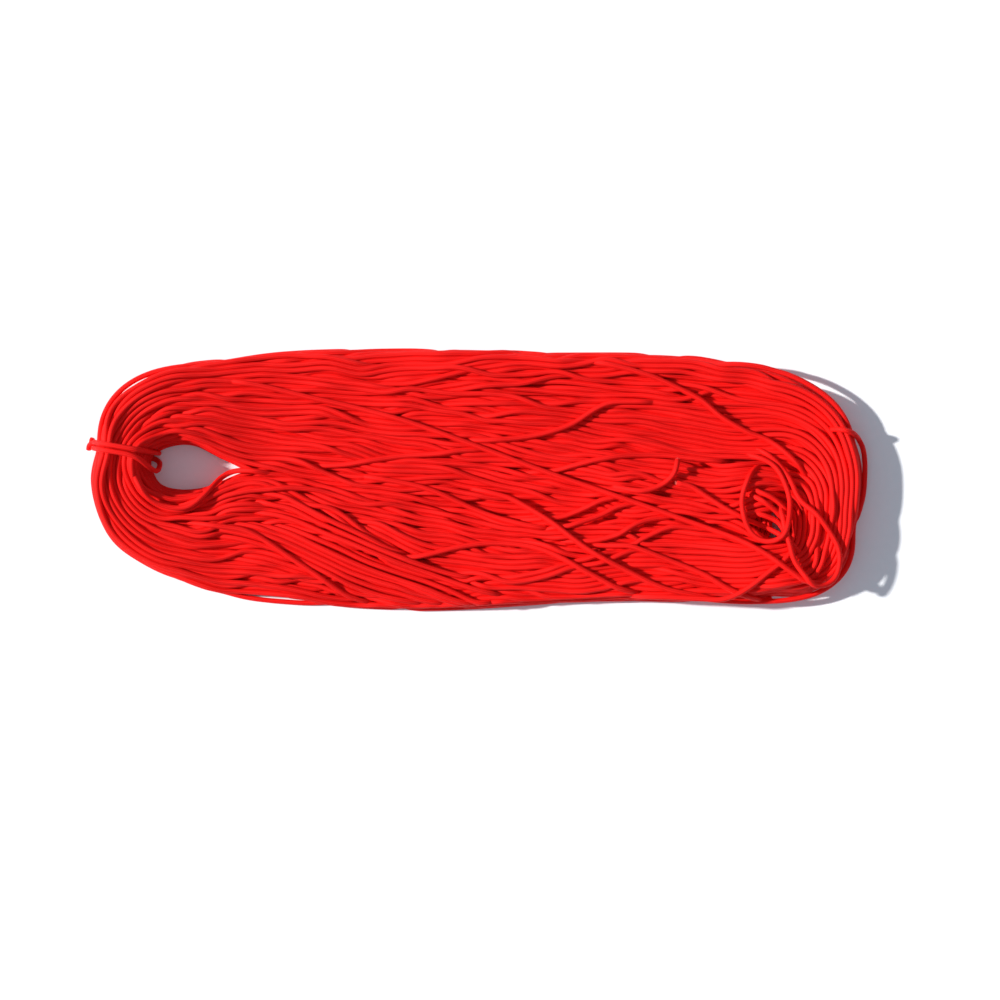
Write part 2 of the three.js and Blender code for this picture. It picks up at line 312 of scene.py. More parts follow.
def station_limits():
    """Inner and outer edge of the space that the turns fill at each station of a turn."""
    outline = catmull_rom(OUTLINE, closed=True)
    eye = catmull_rom(EYE, closed=True)
    inner = np.zeros(PER_TURN)
    outer = np.zeros(PER_TURN)
    open_eye = RUN_X < EYE_TIP
    tight = (TIGHTEST - RADIUS) * smooth_step((RUN_X - TURN_CENTRE[0] + BIGHT_LEAD_IN) / BIGHT_LEAD_IN)
    for part, side, flip in ((OUT, 1, 1), (BACK, -1, -1)):
        outer[part] = edge_across(outline, RUN_X, side)[::flip]
        inner[part] = np.maximum(np.where(open_eye, edge_across(eye, RUN_X, side), 0), tight)[::flip]
    side_pinch = smooth_step(1 - np.abs(TURN_ANGLES - SIDE_TIE_ANGLE) / SIDE_TIE_WIDTH)
    outer[TURN] = polar_edge(outline, TURN_CENTRE, TURN_ANGLES) - SIDE_TIE_DRAW * side_pinch
    inner[TURN] = TIGHTEST - RADIUS
    tie_pinch = smooth_step(1 - np.abs(EYE_ANGLES - TIE_ANGLE) / TIE_WIDTH)
    outer[GATHER] = polar_edge(outline, EYE_CENTRE, EYE_ANGLES) - TIE_DRAW * tie_pinch
    inner[GATHER] = polar_edge(eye, EYE_CENTRE, EYE_ANGLES)
    return inner, outer


INNER, OUTER = station_limits()
CROSSES = INNER < 1e-6  # stations where strands may cross the centre line
# How strongly each station is gathered: 1 around the eye, 0 where the turns are spread
GATHER_LENGTH = 0.11  # of a run, from the eye to where it is spread
GATHERED = np.zeros(PER_TURN)
GATHERED[GATHER] = 1
GATHERED[OUT] = smooth_step((EYE_CENTRE[0] + GATHER_LENGTH - RUN_X) / GATHER_LENGTH)
GATHERED[BACK] = GATHERED[OUT][::-1]
GATHER_HEIGHT = 0.0275  # of the gathered section
DOME = 0.4  # how much narrower the gathered section is at that height, as a share
ROW_RISE = 0.9  # between stacked rows of strands, in cord diameters


def plan_points(across):
    """Plan position of each station of each turn from its distance across: (turns, stations, 2)."""
    plan = np.zeros(across.shape + (2,))
    plan[:, OUT, 0] = RUN_X
    plan[:, OUT, 1] = LINE_Y + across[:, OUT]
    plan[:, BACK, 0] = RUN_X[::-1]
    plan[:, BACK, 1] = LINE_Y[::-1] - across[:, BACK]
    for part, centre, angles in ((TURN, TURN_CENTRE, TURN_ANGLES), (GATHER, EYE_CENTRE, EYE_ANGLES)):
        plan[:, part, 0] = centre[0] + across[:, part] * np.cos(angles)
        plan[:, part, 1] = centre[1] + across[:, part] * np.sin(angles)
    return plan


# How far turns drift inwards (above 0) or outwards (below 0) across the ones under them, as (X or bearing
# in degrees, drift): along the run out and the spread end, then along the run back for the turns laid
# last and for those just under them
LAST_FROM = 0.62  # share of the turns laid before the last ones
DRIFT_OUT = [(-0.172, 0.0), (-0.12, -0.35), (0.0, 0.0), (0.12, 0.5), (0.168, 0.6)]
DRIFT_TURN = [(90, 0.6), (30, 0.0), (-30, -0.6), (-90, -0.5)]
DRIFT_BACK_LAST = [(-0.172, 0.0), (-0.13, 0.3), (-0.01, -0.35), (0.06, -0.6), (0.10, -0.6), (0.168, -0.5)]
DRIFT_BACK_UNDER = [(-0.172, 0.0), (-0.05, 0.0), (0.02, -0.65), (0.115, 0.75), (0.145, 0.6), (0.168, -0.2)]


def drift_of(turn):
    """The drift of every turn at every station, evened out along the turn."""
    late = turn / TURNS
    last = smooth_step((late - LAST_FROM) / 0.2)[:, None]
    under = late[:, None] * (1 - last)
    drift = np.zeros((TURNS, PER_TURN))
    drift[:, OUT] = np.outer(late, np.interp(RUN_X, *np.array(DRIFT_OUT).T))
    bearings = np.array([(-bearing, amount) for bearing, amount in DRIFT_TURN])
    drift[:, TURN] = np.outer(late, np.interp(-np.degrees(TURN_ANGLES), *bearings.T))
    drift[:, BACK] = last * np.interp(RUN_X[::-1], *np.array(DRIFT_BACK_LAST).T)
    drift[:, BACK] += under * np.interp(RUN_X[::-1], *np.array(DRIFT_BACK_UNDER).T)
    return blur(drift, 50)


# ---------------------------------------------------------------- winding the turns
def gather_cells():
    """Places of the turns in the gathered section, packed in rows: outwardness and height, lowest first."""
    width = float(np.mean((OUTER - INNER)[GATHER]))
    cells = []
    row = 0
    while len(cells) < TURNS:
        height = RADIUS + row * ROW_RISE * CORD
        room = width * (1 - DOME * (height / GATHER_HEIGHT) ** 2)
        count = max(3, int(room / CORD))
        share = (np.arange(count) + 0.5) / count
        for outward in 0.5 + (share - 0.5) * room / width:
            cells.append((outward, height))
        row += 1
    return np.array(cells[:TURNS])


def change_slot(before, after, share, first, last, width, bulge):
    """Slots along a run for every turn, each changing over at its own place with its own slight bulge."""
    start = RNG.uniform(first, last, TURNS)[:, None]
    spread = RNG.uniform(*width, TURNS)[:, None]
    swell = RNG.normal(0, bulge, TURNS)[:, None] * np.sin(math.pi * share) ** 2
    return before[:, None] + (after - before)[:, None] * smooth_step((share - start) / spread) + swell


# Stretches where one turn bows out past the others, with floor seen between: the first station, the
# number of stations, the turn's height, and the gaps as (station from the first, half width, gap)
BOWED = [
    (GATHER.start + 17, EYE_FAN - 17 + 3, 0.013, [(5, 4, 0.0030), (11, 5, 0.0026)]),
    (TURN.start - 14, 28, 0.013, [(18, 6, 0.0014)]),
    (TURN.start + 18, TURN_FAN, 0.010, [(9, 5, 0.0014), (15, 4, 0.0018), (22, 6, 0.0026)]),
    (BACK.stop - 30, 24, RADIUS, [(12, 8, 0.0012)]),
]
BOW_RISE = 8  # stations over which a bowed turn leaves the others


def bow_out(slots, height):
    """The room that each bow keeps the other turns in by, how free each turn is of that, and its height.

    The turn that bows is the outermost one near the bow's height.
    """
    room = np.zeros(PER_TURN)
    free = np.zeros(TURNS * PER_TURN)
    bow_height = np.full(TURNS * PER_TURN, RADIUS)
    chain_slots = slots.ravel()
    chain_height = height.ravel()
    for first, count, level, gaps in BOWED:
        along = np.arange(count)
        out = smooth_step((along + 1) / BOW_RISE) * smooth_step((count - along) / BOW_RISE)
        gap = sum(wide * smooth_step(1 - np.abs(along - centre) / half) for centre, half, wide in gaps)
        stations = (first + along) % PER_TURN
        room[stations] = np.maximum(room[stations], out * CORD + gap)
        laid_first = SHORT_TURNS if level == RADIUS else 2 * TURNS // 3
        at = np.arange(laid_first, TURNS - 1)[:, None] * PER_TURN + first + along
        fitness = chain_slots[at].mean(1) - 10 * np.abs(chain_height[at].mean(1) - level)
        bowed = at[np.argmax(fitness)]
        free[bowed] = out
        bow_height[bowed] = level
    return room, free.reshape(TURNS, PER_TURN), bow_height.reshape(TURNS, PER_TURN)


def fold_arcs():
    """The short turns' folds: radius, height, half width in each slice, and drift off the centre line.

    Also says at which stations a turn is held to its fold, and where past its fold it is gone.
    """
    turn = np.arange(SHORT_TURNS)
    radius = TIGHTEST + (turn % SHORT_PER_LAYER) * 1.02 * CORD
    height = RADIUS + (turn // SHORT_PER_LAYER) * ROW_RISE * CORD
    past = np.maximum(RUN_X - SHORT_FOLD_X, 0)[None, :]
    arc = np.sqrt(np.maximum(radius[:, None] ** 2 - past**2, 0))
    drift = np.where(past > 0, centre_line(SHORT_FOLD_X) - LINE_Y, 0)
    held = np.zeros((TURNS, PER_TURN), bool)
    gone = np.zeros((TURNS, PER_TURN), bool)
    held[:SHORT_TURNS, OUT] = past > 0
    held[:SHORT_TURNS, BACK] = (past > 0)[:, ::-1]
    gone[:SHORT_TURNS, OUT] = past > 0.96 * radius[:, None]
    gone[:SHORT_TURNS, BACK] = gone[:SHORT_TURNS, OUT][:, ::-1]
    held[:SHORT_TURNS, TURN] = True
    gone[:SHORT_TURNS, TURN] = True
    return radius, height, arc, drift, held, gone


FOLD_RADIUS, FOLD_HEIGHT, FOLD_ARC, FOLD_DRIFT, HELD, GONE = fold_arcs()


def gathered_places(turn, layer, outward):
    """Slot and height of every turn in the gathered section: on the whole, later turns lie higher."""
    cells = gather_cells()
    rank = PER_LAYER * (layer + 0.5 * (turn % 2)) + RNG.normal(0, 2.5, TURNS)
    sideways = outward + RNG.normal(0, 0.14, TURNS)
    rank[TURNS - 1] = 0.4 * TURNS
    by_height = np.argsort(rank)
    slot = np.zeros(TURNS)
    level = np.zeros(TURNS)
    first = 0
    for height in np.unique(cells[:, 1]):
        row = cells[cells[:, 1] == height]
        members = by_height[first:first + len(row)]
        members = members[np.argsort(sideways[members])]
        slot[members] = row[:, 0]
        level[members] = height
        first += len(row)
    return slot, level


REVERSED = 0.2  # share of the turns that cross to the other side of their run back
CLOSING = 0.09  # how far strands reach over the centre line past the eye's tip, as a share of the width


def wind_slots(turn, turn_slot, gather_slot):
    """Every turn's slot at each station, from 0 at the inner edge to 1 at the outer one."""
    before = np.roll(gather_slot, 1)
    reversed_turn = RNG.random(TURNS) < REVERSED
    middle = np.where(reversed_turn, 0.72 - 0.45 * turn_slot, turn_slot) + RNG.normal(0, 0.10, TURNS)
    share = np.linspace(0, 1, RUN)[None, :]
    slots = np.zeros((TURNS, PER_TURN))
    slots[:, OUT] = change_slot(before, turn_slot, share, 0.0, 0.25, (0.45, 0.75), 0.05)
    slots[:, TURN] = turn_slot[:, None]
    slots[:, BACK] = change_slot(turn_slot, middle, share, 0.0, 0.15, (0.40, 0.55), 0.03)
    slots[:, BACK] += change_slot(0 * middle, gather_slot - middle, share, 0.36, 0.46, (0.48, 0.54), 0.0)
    slots[:, GATHER] = gather_slot[:, None] + RNG.normal(0, 0.02, (TURNS, 1))
    slots = np.clip(slots, 0, 1) ** np.exp(drift_of(turn))
    closing = smooth_step((RUN_X - EYE_TIP) / 0.01) * smooth_step((0.01 - RUN_X) / 0.08)
    for part, flip in ((OUT, 1), (BACK, -1)):
        slots[:, part] -= CLOSING * (closing * (1 - np.clip(slots[:, part][:, ::flip], 0, 1)))[:, ::flip]
    return slots


def fold_short_turns(across):
    """Draws the short turns in, over their whole runs, to the folds they end in."""
    nest = smooth_step((RUN_X + 0.02) / 0.14)
    fold = FOLD_ARC * nest
    short = across[:SHORT_TURNS]
    short[:, OUT] = short[:, OUT] * (1 - nest) + fold + FOLD_DRIFT
    short[:, BACK] = short[:, BACK] * (1 - nest[::-1]) + (fold - FOLD_DRIFT)[:, ::-1]
    short[:, TURN] = short[:, TURN.start - 1:TURN.start]


def wind_turns():
    """First guess of every turn's distance across and height at each station, by a loop over the turns."""
    turn = np.arange(TURNS)
    layer = turn // PER_LAYER
    progress = (turn % PER_LAYER) / (PER_LAYER - 1)
    outward = np.where(layer % 2 == 0, progress, 1 - progress)
    turn_slot = np.clip(outward + RNG.normal(0, 0.05, TURNS), 0, 1)
    gather_slot, gather_height = gathered_places(turn, layer, outward)
    slots = wind_slots(turn, turn_slot, gather_slot)

    thickness = TURNS * CORD * 0.88 * CORD / (OUTER - INNER)
    flat = RADIUS + (turn[:, None] + 0.5) / TURNS * thickness
    height = (1 - GATHERED) * flat + GATHERED * gather_height[:, None]
    room, free, bow_height = bow_out(slots, height)
    slots = blur((slots + free * (1 - slots)).reshape(1, -1), 40).reshape(TURNS, PER_TURN)
    slots = np.clip(slots, np.where(CROSSES, -0.12, 0), 1)
    across = INNER + RADIUS + slots * (OUTER - INNER - CORD)
    fold_short_turns(across)

    height = np.maximum(height + free * (bow_height - height), RADIUS)
    fold_height = np.append(FOLD_HEIGHT, np.zeros(TURNS - SHORT_TURNS))[:, None]
    height[HELD] = np.broadcast_to(fold_height, HELD.shape)[HELD]
    return across, height, room, free, bow_height


# ---------------------------------------------------------------- settling the turns
NEIGHBOURS = 16  # strands to each side that a strand is pushed away from
PUSH = 0.36  # share of an overlap by which one pass moves each of the two strands
PUSH_LIMIT = 0.3 * CORD  # the most that one neighbour moves a strand in a pass
MOVE_LIMIT = 0.5 * CORD  # the most that all of them do
CLIMB = 0.6  # how steeply a later strand is led up over an earlier one that it lies beside
WRONG_WITHIN = 0.8 * CORD  # distance within which an earlier strand may not lie above a later one
SINK = 0.05  # how far a strand falls in the first pass, in cord diameters
COOLEST = 0.04  # share of its first strength that falling and pulling keep to the end
TARGET_PULL = 0.02  # share of the way back to its first place that a turn is pulled in a pass
LOOSE_PULL = 0.3  # the same, for a crossing strand
BOW_LIFT = 0.1  # the same, for a bowed turn's height
BENDING = 0.24  # stiffness of a strand
LOOSE_TENSION = 0.3


def limited(values, most):
    return np.clip(values, -most, most)


def push_apart(across, up, stretch, laid, strict):
    """One pass that parts strands that overlap in each slice, the later laid above the earlier.

    Arrays are (slices, strands); stretch is how much wider than its diameter a slanting strand is in its
    slice, and strict is how firmly each slice keeps the order of laying.
    """
    order = np.argsort(across, axis=1)
    a, z, f, turn = (np.take_along_axis(values, order, 1) for values in (across, up, stretch, laid))
    move_a = np.zeros_like(a)
    move_z = np.zeros_like(z)
    for step in range(1, NEIGHBOURS + 1):
        wide = 0.5 * (f[:, step:] + f[:, :-step])
        gap_a = (a[:, step:] - a[:, :-step]) / wide
        gap_z = z[:, step:] - z[:, :-step]
        above = np.sign(turn[:, step:] - turn[:, :-step])
        ordered = above * np.maximum(above * gap_z, CLIMB * np.maximum(CORD - gap_a, 0))
        lean = gap_z + strict * (ordered - gap_z)
        apart = np.sqrt(gap_a**2 + lean**2) + 1e-9
        real = np.sqrt(gap_a**2 + gap_z**2)
        wrong = (above * gap_z < 0) & (gap_a < WRONG_WITHIN) & (strict > 0.5)
        touching = (real < CORD) | wrong
        rate = np.where(touching, PUSH, 0.0)
        push_a = limited(rate * (CORD / apart * gap_a - gap_a) * wide, PUSH_LIMIT)
        push_z = limited(rate * (CORD / apart * lean - gap_z), PUSH_LIMIT)
        move_a[:, step:] += push_a
        move_a[:, :-step] -= push_a
        move_z[:, step:] += push_z
        move_z[:, :-step] -= push_z
    back = np.argsort(order, axis=1)
    move_a, move_z = (limited(np.take_along_axis(move, back, 1), MOVE_LIMIT) for move in (move_a, move_z))
    return across + move_a, up + move_z


def smooth_chain(values, tension):
    """Evens a value along the whole cord, by its slack and by its stiffness, with its ends held."""
    chain = values.ravel()
    curl = np.zeros_like(chain)
    curl[1:-1] = 0.5 * (chain[:-2] + chain[2:]) - chain[1:-1]
    relaxed = chain + tension * curl
    relaxed[2:-2] -= BENDING * 0.5 * (curl[1:-3] + curl[3:-1] - 2 * curl[2:-2])
    return relaxed.reshape(values.shape)


PINCH = np.zeros(PER_TURN)
PINCH[GATHER] = smooth_step(1.5 - np.abs(EYE_ANGLES - TIE_ANGLE) / math.radians(18))
FLOOR = RADIUS + 1.02 * CORD * PINCH  # the gathering tie passes under the turns


def keep_inside(across, up, slack, free):
    """Holds the turns in the hank's outline, off the floor, and the gathered section domed."""
    up = np.maximum(up, FLOOR)
    edge = 0.25 * (1 - GATHERED) * (up - RADIUS)
    middle = 0.5 * (INNER + OUTER)
    half = 0.5 * (OUTER - INNER) - RADIUS
    domed = half * (1 - 0.05 * PINCH - DOME * np.minimum(up / GATHER_HEIGHT, 1.2) ** 2)
    reach = half + GATHERED * (1 - free) * (domed - half) + (1 - GATHERED) * RADIUS
    high = np.minimum(OUTER - RADIUS - edge - slack, middle + reach)
    low = np.where(CROSSES, CORD - OUTER, np.maximum(INNER + RADIUS, middle - reach))
    return np.clip(across, low, high), up


def outline_slack(room, free):
    """How far short of the outline each turn stays: a little loose, and clear of the bowed turns."""
    noise = blur(RNG.normal(0, 1, (1, TURNS * PER_TURN)), 300)
    slack = 0.3 * CORD * np.abs(noise) / noise.std()
    return (slack.reshape(TURNS, PER_TURN) + room) * (1 - free)


def with_tails(route):
    """A route with a hidden tail at each end, turning to lie along the turns."""
    route = np.asarray(route, float)
    along = np.array([1.0, (LINE_Y[-1] - LINE_Y[0]) / (RUN_X[-1] - RUN_X[0])])
    tails = []
    for tip, inner, way in ((route[0], route[1], -1), (route[-1], route[-2], 1)):
        heading = (tip - inner) / np.linalg.norm(tip - inner) + way * along
        tails.append(tip + TAIL * heading / np.linalg.norm(heading))
    return np.vstack([tails[0], route, tails[1]])


AWAY = 10.0  # where an absent strand is parked, out of the way
EDGE_ROOM = 1.5 * CORD  # that a crossing strand keeps from the outer edge
LAID_AT_ENDS = 0.6  # a crossing strand's ends come among the turns, after this share of them,
LAID_LATER = 1.4  # and between its ends it comes this much later, over them all


def crossing_strands():
    """Targets of the strands that cross over the turns: plan, presence and order of laying, per slice."""
    lateral = np.zeros((RUN, len(CROSSING)))
    laid = np.zeros((RUN, len(CROSSING)))
    present = np.zeros((RUN, len(CROSSING)), bool)
    lowest = LINE_Y - (OUTER[BACK][::-1] - EDGE_ROOM)
    highest = LINE_Y + OUTER[OUT] - EDGE_ROOM
    for index, (name, route) in enumerate(CROSSING.items()):
        dense = catmull_rom(with_tails(route))
        present[:, index] = (RUN_X >= dense[0, 0]) & (RUN_X <= dense[-1, 0])
        lateral[:, index] = np.clip(np.interp(RUN_X, dense[:, 0], dense[:, 1]), lowest, highest)
        last = AWAY if name in CROSSING_TAIL else min(dense[-1, 0], RUN_X[-1])
        from_end = np.minimum(RUN_X - dense[0, 0], last - RUN_X)
        between = smooth_step((from_end - 0.4 * TAIL) / TAIL)
        laid[:, index] = (LAID_AT_ENDS + LAID_LATER * between) * TURNS + index
    return lateral, laid, present


def laying_order():
    """The order in which the turns were laid, at each station; the last turn ends under the others."""
    laid = np.repeat(np.arange(TURNS, dtype=float)[:, None], PER_TURN, 1)
    laid[:, BACK] += 0.5
    ending = smooth_step((np.arange(PER_TURN) - BACK.start - 0.35 * RUN) / (0.25 * RUN))
    laid[-1] -= 0.6 * TURNS * ending
    return laid


RUN_SIDE = np.repeat([1.0, -1.0], TURNS)  # side of the centre line of each run: all out, then all back
PARKED_TURNS = 2 * AWAY + np.arange(TURNS)
PARKED_LOOSE = AWAY + np.arange(len(CROSSING))


def run_slices(values):
    """The turns' values along their runs as (slices, strands): all runs out, then all runs back."""
    return np.hstack([values[:, OUT].T, values[:, BACK].T[::-1]])


def put_run_slices(values, slices):
    """Writes such slices back into the turns' values."""
    values[:, OUT] = slices[:, :TURNS].T
    values[:, BACK] = slices[:, TURNS:][::-1].T


def widening(slope):
    """How much wider than its diameter a strand with this slope is in its slice."""
    return np.sqrt(1 + np.minimum(slope**2, 1.0))


def part_runs(across, up, loose_y, loose_z, present, laid):
    """One pass of push_apart along both runs, with the crossing strands among the turns."""
    line = LINE_Y[:, None]
    turns_y = np.where(run_slices(GONE), np.tile(PARKED_TURNS, 2), line + RUN_SIDE * run_slices(across))
    lateral = np.hstack([turns_y, np.where(present, loose_y, PARKED_LOOSE)])
    height = np.hstack([run_slices(up), loose_z])
    stretch = widening(np.gradient(lateral, RUN_X, axis=0))
    lateral, height = push_apart(lateral, height, stretch, laid, (1 - GATHERED[OUT])[:, None])
    put_run_slices(across, RUN_SIDE * (lateral[:, :2 * TURNS] - line))
    put_run_slices(up, height[:, :2 * TURNS])
    return np.where(present, lateral[:, 2 * TURNS:], loose_y), height[:, 2 * TURNS:]


def part_bends(across, up, laid):
    """One pass of push_apart around the spread end, then around the eye, where order is not kept."""
    for part, angles, strict in ((TURN, TURN_ANGLES, 1.0), (GATHER, EYE_ANGLES, 0.0)):
        reach = np.where(GONE[:, part].T, PARKED_TURNS, across[:, part].T)
        stretch = widening(np.gradient(reach, angles, axis=0) / reach)
        reach, height = push_apart(reach, up[:, part].T, stretch, laid[:, part].T, strict)
        across[:, part] = reach.T
        up[:, part] = height.T


def settle(across, up, slack, free, bow_height, passes):
    """Lets the turns and the crossing strands come to rest on the floor and on each other."""
    target = across.copy()
    held_up = up[HELD]
    loose_y, loose_laid, present = crossing_strands()
    loose_target = loose_y.copy()
    top = np.max(up[:, OUT], axis=0)[:, None] + CORD
    loose_z = top * np.minimum(loose_laid / TURNS, 1)
    laid = laying_order()
    laid_run = np.hstack([run_slices(laid), loose_laid])
    for step in range(passes):
        cooling = max(COOLEST, 1 - step / (0.8 * passes))
        up = up - SINK * cooling * CORD * (1 - free)
        up = up + BOW_LIFT * free * (bow_height - up)
        loose_z = loose_z - SINK * cooling * CORD
        across = across + TARGET_PULL * cooling * (target - across)
        loose_y = loose_y + LOOSE_PULL * (loose_target - loose_y)
        across = smooth_chain(across, 0.25 * cooling)
        up = smooth_chain(up, 0.3 * cooling + 0.03)
        for index in range(len(CROSSING)):
            here = present[:, index]
            loose_z[here, index] = smooth_chain(loose_z[here, index], LOOSE_TENSION)
        loose_y, loose_z = part_runs(across, up, loose_y, loose_z, present, laid_run)
        part_bends(across, up, laid)
        across, up = keep_inside(across, up, slack, free)
        across[HELD] = target[HELD]
        up[HELD] = held_up
    return across, up, loose_y, loose_z, present


def turn_points(across, up):
    """The whole cord's centre line, with the short turns' folds drawn as half circles: list of turns."""
    plan = plan_points(across)
    line = np.concatenate([plan, up[..., None]], -1)
    around = np.linspace(math.pi / 2, -math.pi / 2, 26)[1:-1]
    turns = []
    for turn in range(TURNS):
        if turn < SHORT_TURNS:
            fold = np.stack([
                SHORT_FOLD_X + FOLD_RADIUS[turn] * np.cos(around),
                centre_line(SHORT_FOLD_X) + FOLD_RADIUS[turn] * np.sin(around),
                np.full(len(around), FOLD_HEIGHT[turn]),
            ], -1)
            before = line[turn, OUT][RUN_X < SHORT_FOLD_X - 0.001]
            after = line[turn, BACK][RUN_X[::-1] < SHORT_FOLD_X - 0.001]
            turns.append(np.vstack([before, fold, after, line[turn, GATHER]]))
        else:
            turns.append(line[turn])
    return turns


# ---------------------------------------------------------------- lines
FINE_STEP = CORD / 2  # spacing at which a line is evened out
LONGEST = CORD  # between points of a straight stretch
WIDEST = 0.13  # bend between two points, in radians


def arc_along(line):
    """Distance along a line of each of its points."""
    return np.concatenate([[0], np.cumsum(np.linalg.norm(np.diff(line, axis=0), axis=1))])


def resample(line, spacing):
    """The same line with its points evenly spaced."""
    arc = arc_along(line)
    at = np.linspace(0, arc[-1], max(2, int(round(arc[-1] / spacing)) + 1))
    return np.stack([np.interp(at, arc, axis) for axis in line.T], -1)


def even_out(line, passes=5):
    """Smooths a line's small kinks, then keeps points closer together where it bends."""
    fine = blur(resample(line, FINE_STEP).T, passes).T
    step = np.diff(fine, axis=0)
    length = np.linalg.norm(step, axis=1)
    heading = step / length[:, None]
    turned = np.arccos(np.clip(np.sum(heading[1:] * heading[:-1], 1), -1, 1))
    weight = length / LONGEST + np.append(turned, 0) / WIDEST
    spread = np.concatenate([[0], np.cumsum(weight)])
    at = np.linspace(0, spread[-1], int(spread[-1]) + 2)
    return np.stack([np.interp(at, spread, axis) for axis in fine.T], -1)


# ---------------------------------------------------------------- laying cords over the turns
CELL = 0.0005  # cell of the height map of all strands
MAP_LOW = np.array([-0.24, -0.09])
MAP_SHAPE = (960, 360)
REACH = int(CORD / CELL)


def stamp(heights, line):
    """Adds a strand's centre line to the height map."""
    fine = resample(line, 1.4 * CELL)
    cell = np.clip(((fine[:, :2] - MAP_LOW) / CELL).astype(int), 0, np.array(MAP_SHAPE) - 1)
    np.maximum.at(heights, (cell[:, 0], cell[:, 1]), fine[:, 2])


def rest_height(heights, plan):
    """Height at which a cord's centre rests on the mapped strands or on the floor, at each plan point."""
    steps = np.arange(-REACH, REACH + 1)
    shift = np.stack(np.meshgrid(steps, steps, indexing="ij"), -1).reshape(-1, 2)
    cells = ((plan - MAP_LOW) / CELL).astype(int)[:, None, :] + shift[None, :, :]
    cells = np.clip(cells, 0, np.array(MAP_SHAPE) - 1)
    centres = MAP_LOW + (cells + 0.5) * CELL
    apart = np.linalg.norm(centres - plan[:, None, :], axis=2)
    mapped = heights[cells[..., 0], cells[..., 1]]
    lifted = mapped + np.sqrt(np.maximum(CORD**2 - apart**2, 0))
    return np.maximum(np.where((apart < CORD) & (mapped > 0), lifted, RADIUS).max(1), RADIUS)


def drape(rest, passes=60):
    """The height profile of a cord with some stiffness that lies on the given rest heights."""
    height = rest.copy()
    for _ in range(passes):
        height = np.maximum(rest, blur(height, 1))
    return blur(height, 4)


HIDDEN = 6 * CORD  # length over which a hidden end sinks


def extend_line(heights, line, tail):
    """A settled strand carried on along a plan route, laid on what is already there."""
    plan = resample(catmull_rom(np.vstack([line[::3, :2], tail])), FINE_STEP)
    rest = rest_height(heights, plan)
    settled = plan[:, 0] < line[-1, 0] - 4 * CORD
    rest[settled] = np.interp(plan[settled, 0], line[:, 0], line[:, 2])
    return np.column_stack([plan, drape(rest, 30)])


def sink_ends(line, first, last):
    """A strand with its hidden ends bent down among the strands under it."""
    arc = arc_along(line)
    sunk = first * (1 - smooth_step(arc / HIDDEN)) + last * (1 - smooth_step((arc[-1] - arc) / HIDDEN))
    return np.column_stack([line[:, :2], np.maximum(line[:, 2] - sunk, RADIUS)])


def lay_down(heights, route, sink_first, sink_last, curl=0.0):
    """A cord along a plan route, laid on what is already there, its hidden ends sunk among the turns.

    curl lifts the first end off what it lies on, as the cord's own set does at a cut.
    """
    plan = resample(catmull_rom(route), FINE_STEP)
    arc = np.arange(len(plan)) * FINE_STEP
    height = drape(rest_height(heights, plan)) + curl * (1 - smooth_step(arc / (6 * CORD)))
    line = sink_ends(np.column_stack([plan, height]), sink_first, sink_last)
    stamp(heights, line)
    return line


SIDE_TIE_INSET = 0.0026  # how far in the tie is drawn from its CAD route
SIDE_TIE_OVER = 0.016  # length that lies on the turns
SIDE_TIE_DESCENT = 0.012  # length over which it leaves them
SIDE_TIE_RISE = 1.25  # the turns it comes down from lie higher than in the CAD part


def side_tie_line(heights):
    """The side tie: over the outer turns, then down past their outside and in under them."""
    route = resample(catmull_rom(SIDE_TIE + SIDE_TIE_TAIL), FINE_STEP)
    inward = TURN_CENTRE - route[:, :2]
    route[:, :2] += SIDE_TIE_INSET * inward / np.linalg.norm(inward, axis=1)[:, None]
    route[:, 2] *= SIDE_TIE_RISE
    arc = np.arange(len(route)) * FINE_STEP
    over = 1 - smooth_step((arc - SIDE_TIE_OVER) / SIDE_TIE_DESCENT)
    rest = drape(rest_height(heights, route[:, :2]), 10)
    route[:, 2] += over * (rest - route[:, 2])
    route[:, 2] -= 1.5 * CORD * (1 - smooth_step(arc / (3 * CORD)))
    stamp(heights, route)
    return route


# ---------------------------------------------------------------- the gathering tie
def convex_hull(points):
    """Corners of the convex hull of plane points, counter-clockwise."""
    points = points[np.lexsort((points[:, 1], points[:, 0]))]
    halves = []
    for half in (points, points[::-1]):
        chain = []
        for point in half:
            while len(chain) > 1:
                a = chain[-1] - chain[-2]
                b = point - chain[-2]
                if a[0] * b[1] - a[1] * b[0] > 0:
                    break
                chain.pop()
            chain.append(point)
        halves.append(chain[:-1])
    return np.array(halves[0] + halves[1])


TIE_FROM, TIE_TO = -0.008, 0.038  # where the gathered strands are, inwards of the tie's start
WRAP_STEP = 0.0008  # between the points of a wrap
SLACK_ASIDE = 2.4 * CORD  # how far the slack loop in the eye lies beside the wraps,
SLACK_INWARDS = 1.3 * CORD  # and how far it stands off the turns
# The tie's two ends at its knot, from the knot's middle: inwards, beside and up, in cord diameters
FIRST_END = [(-0.6, 1.15, 0.5), (-0.8, 0.5, 0.2), (-0.6, -0.25, -0.4)]
LAST_END = [(-0.5, 0.35, 0.9), (-1.1, -0.3, 0.5), (-1.05, -1.0, 0.1)]


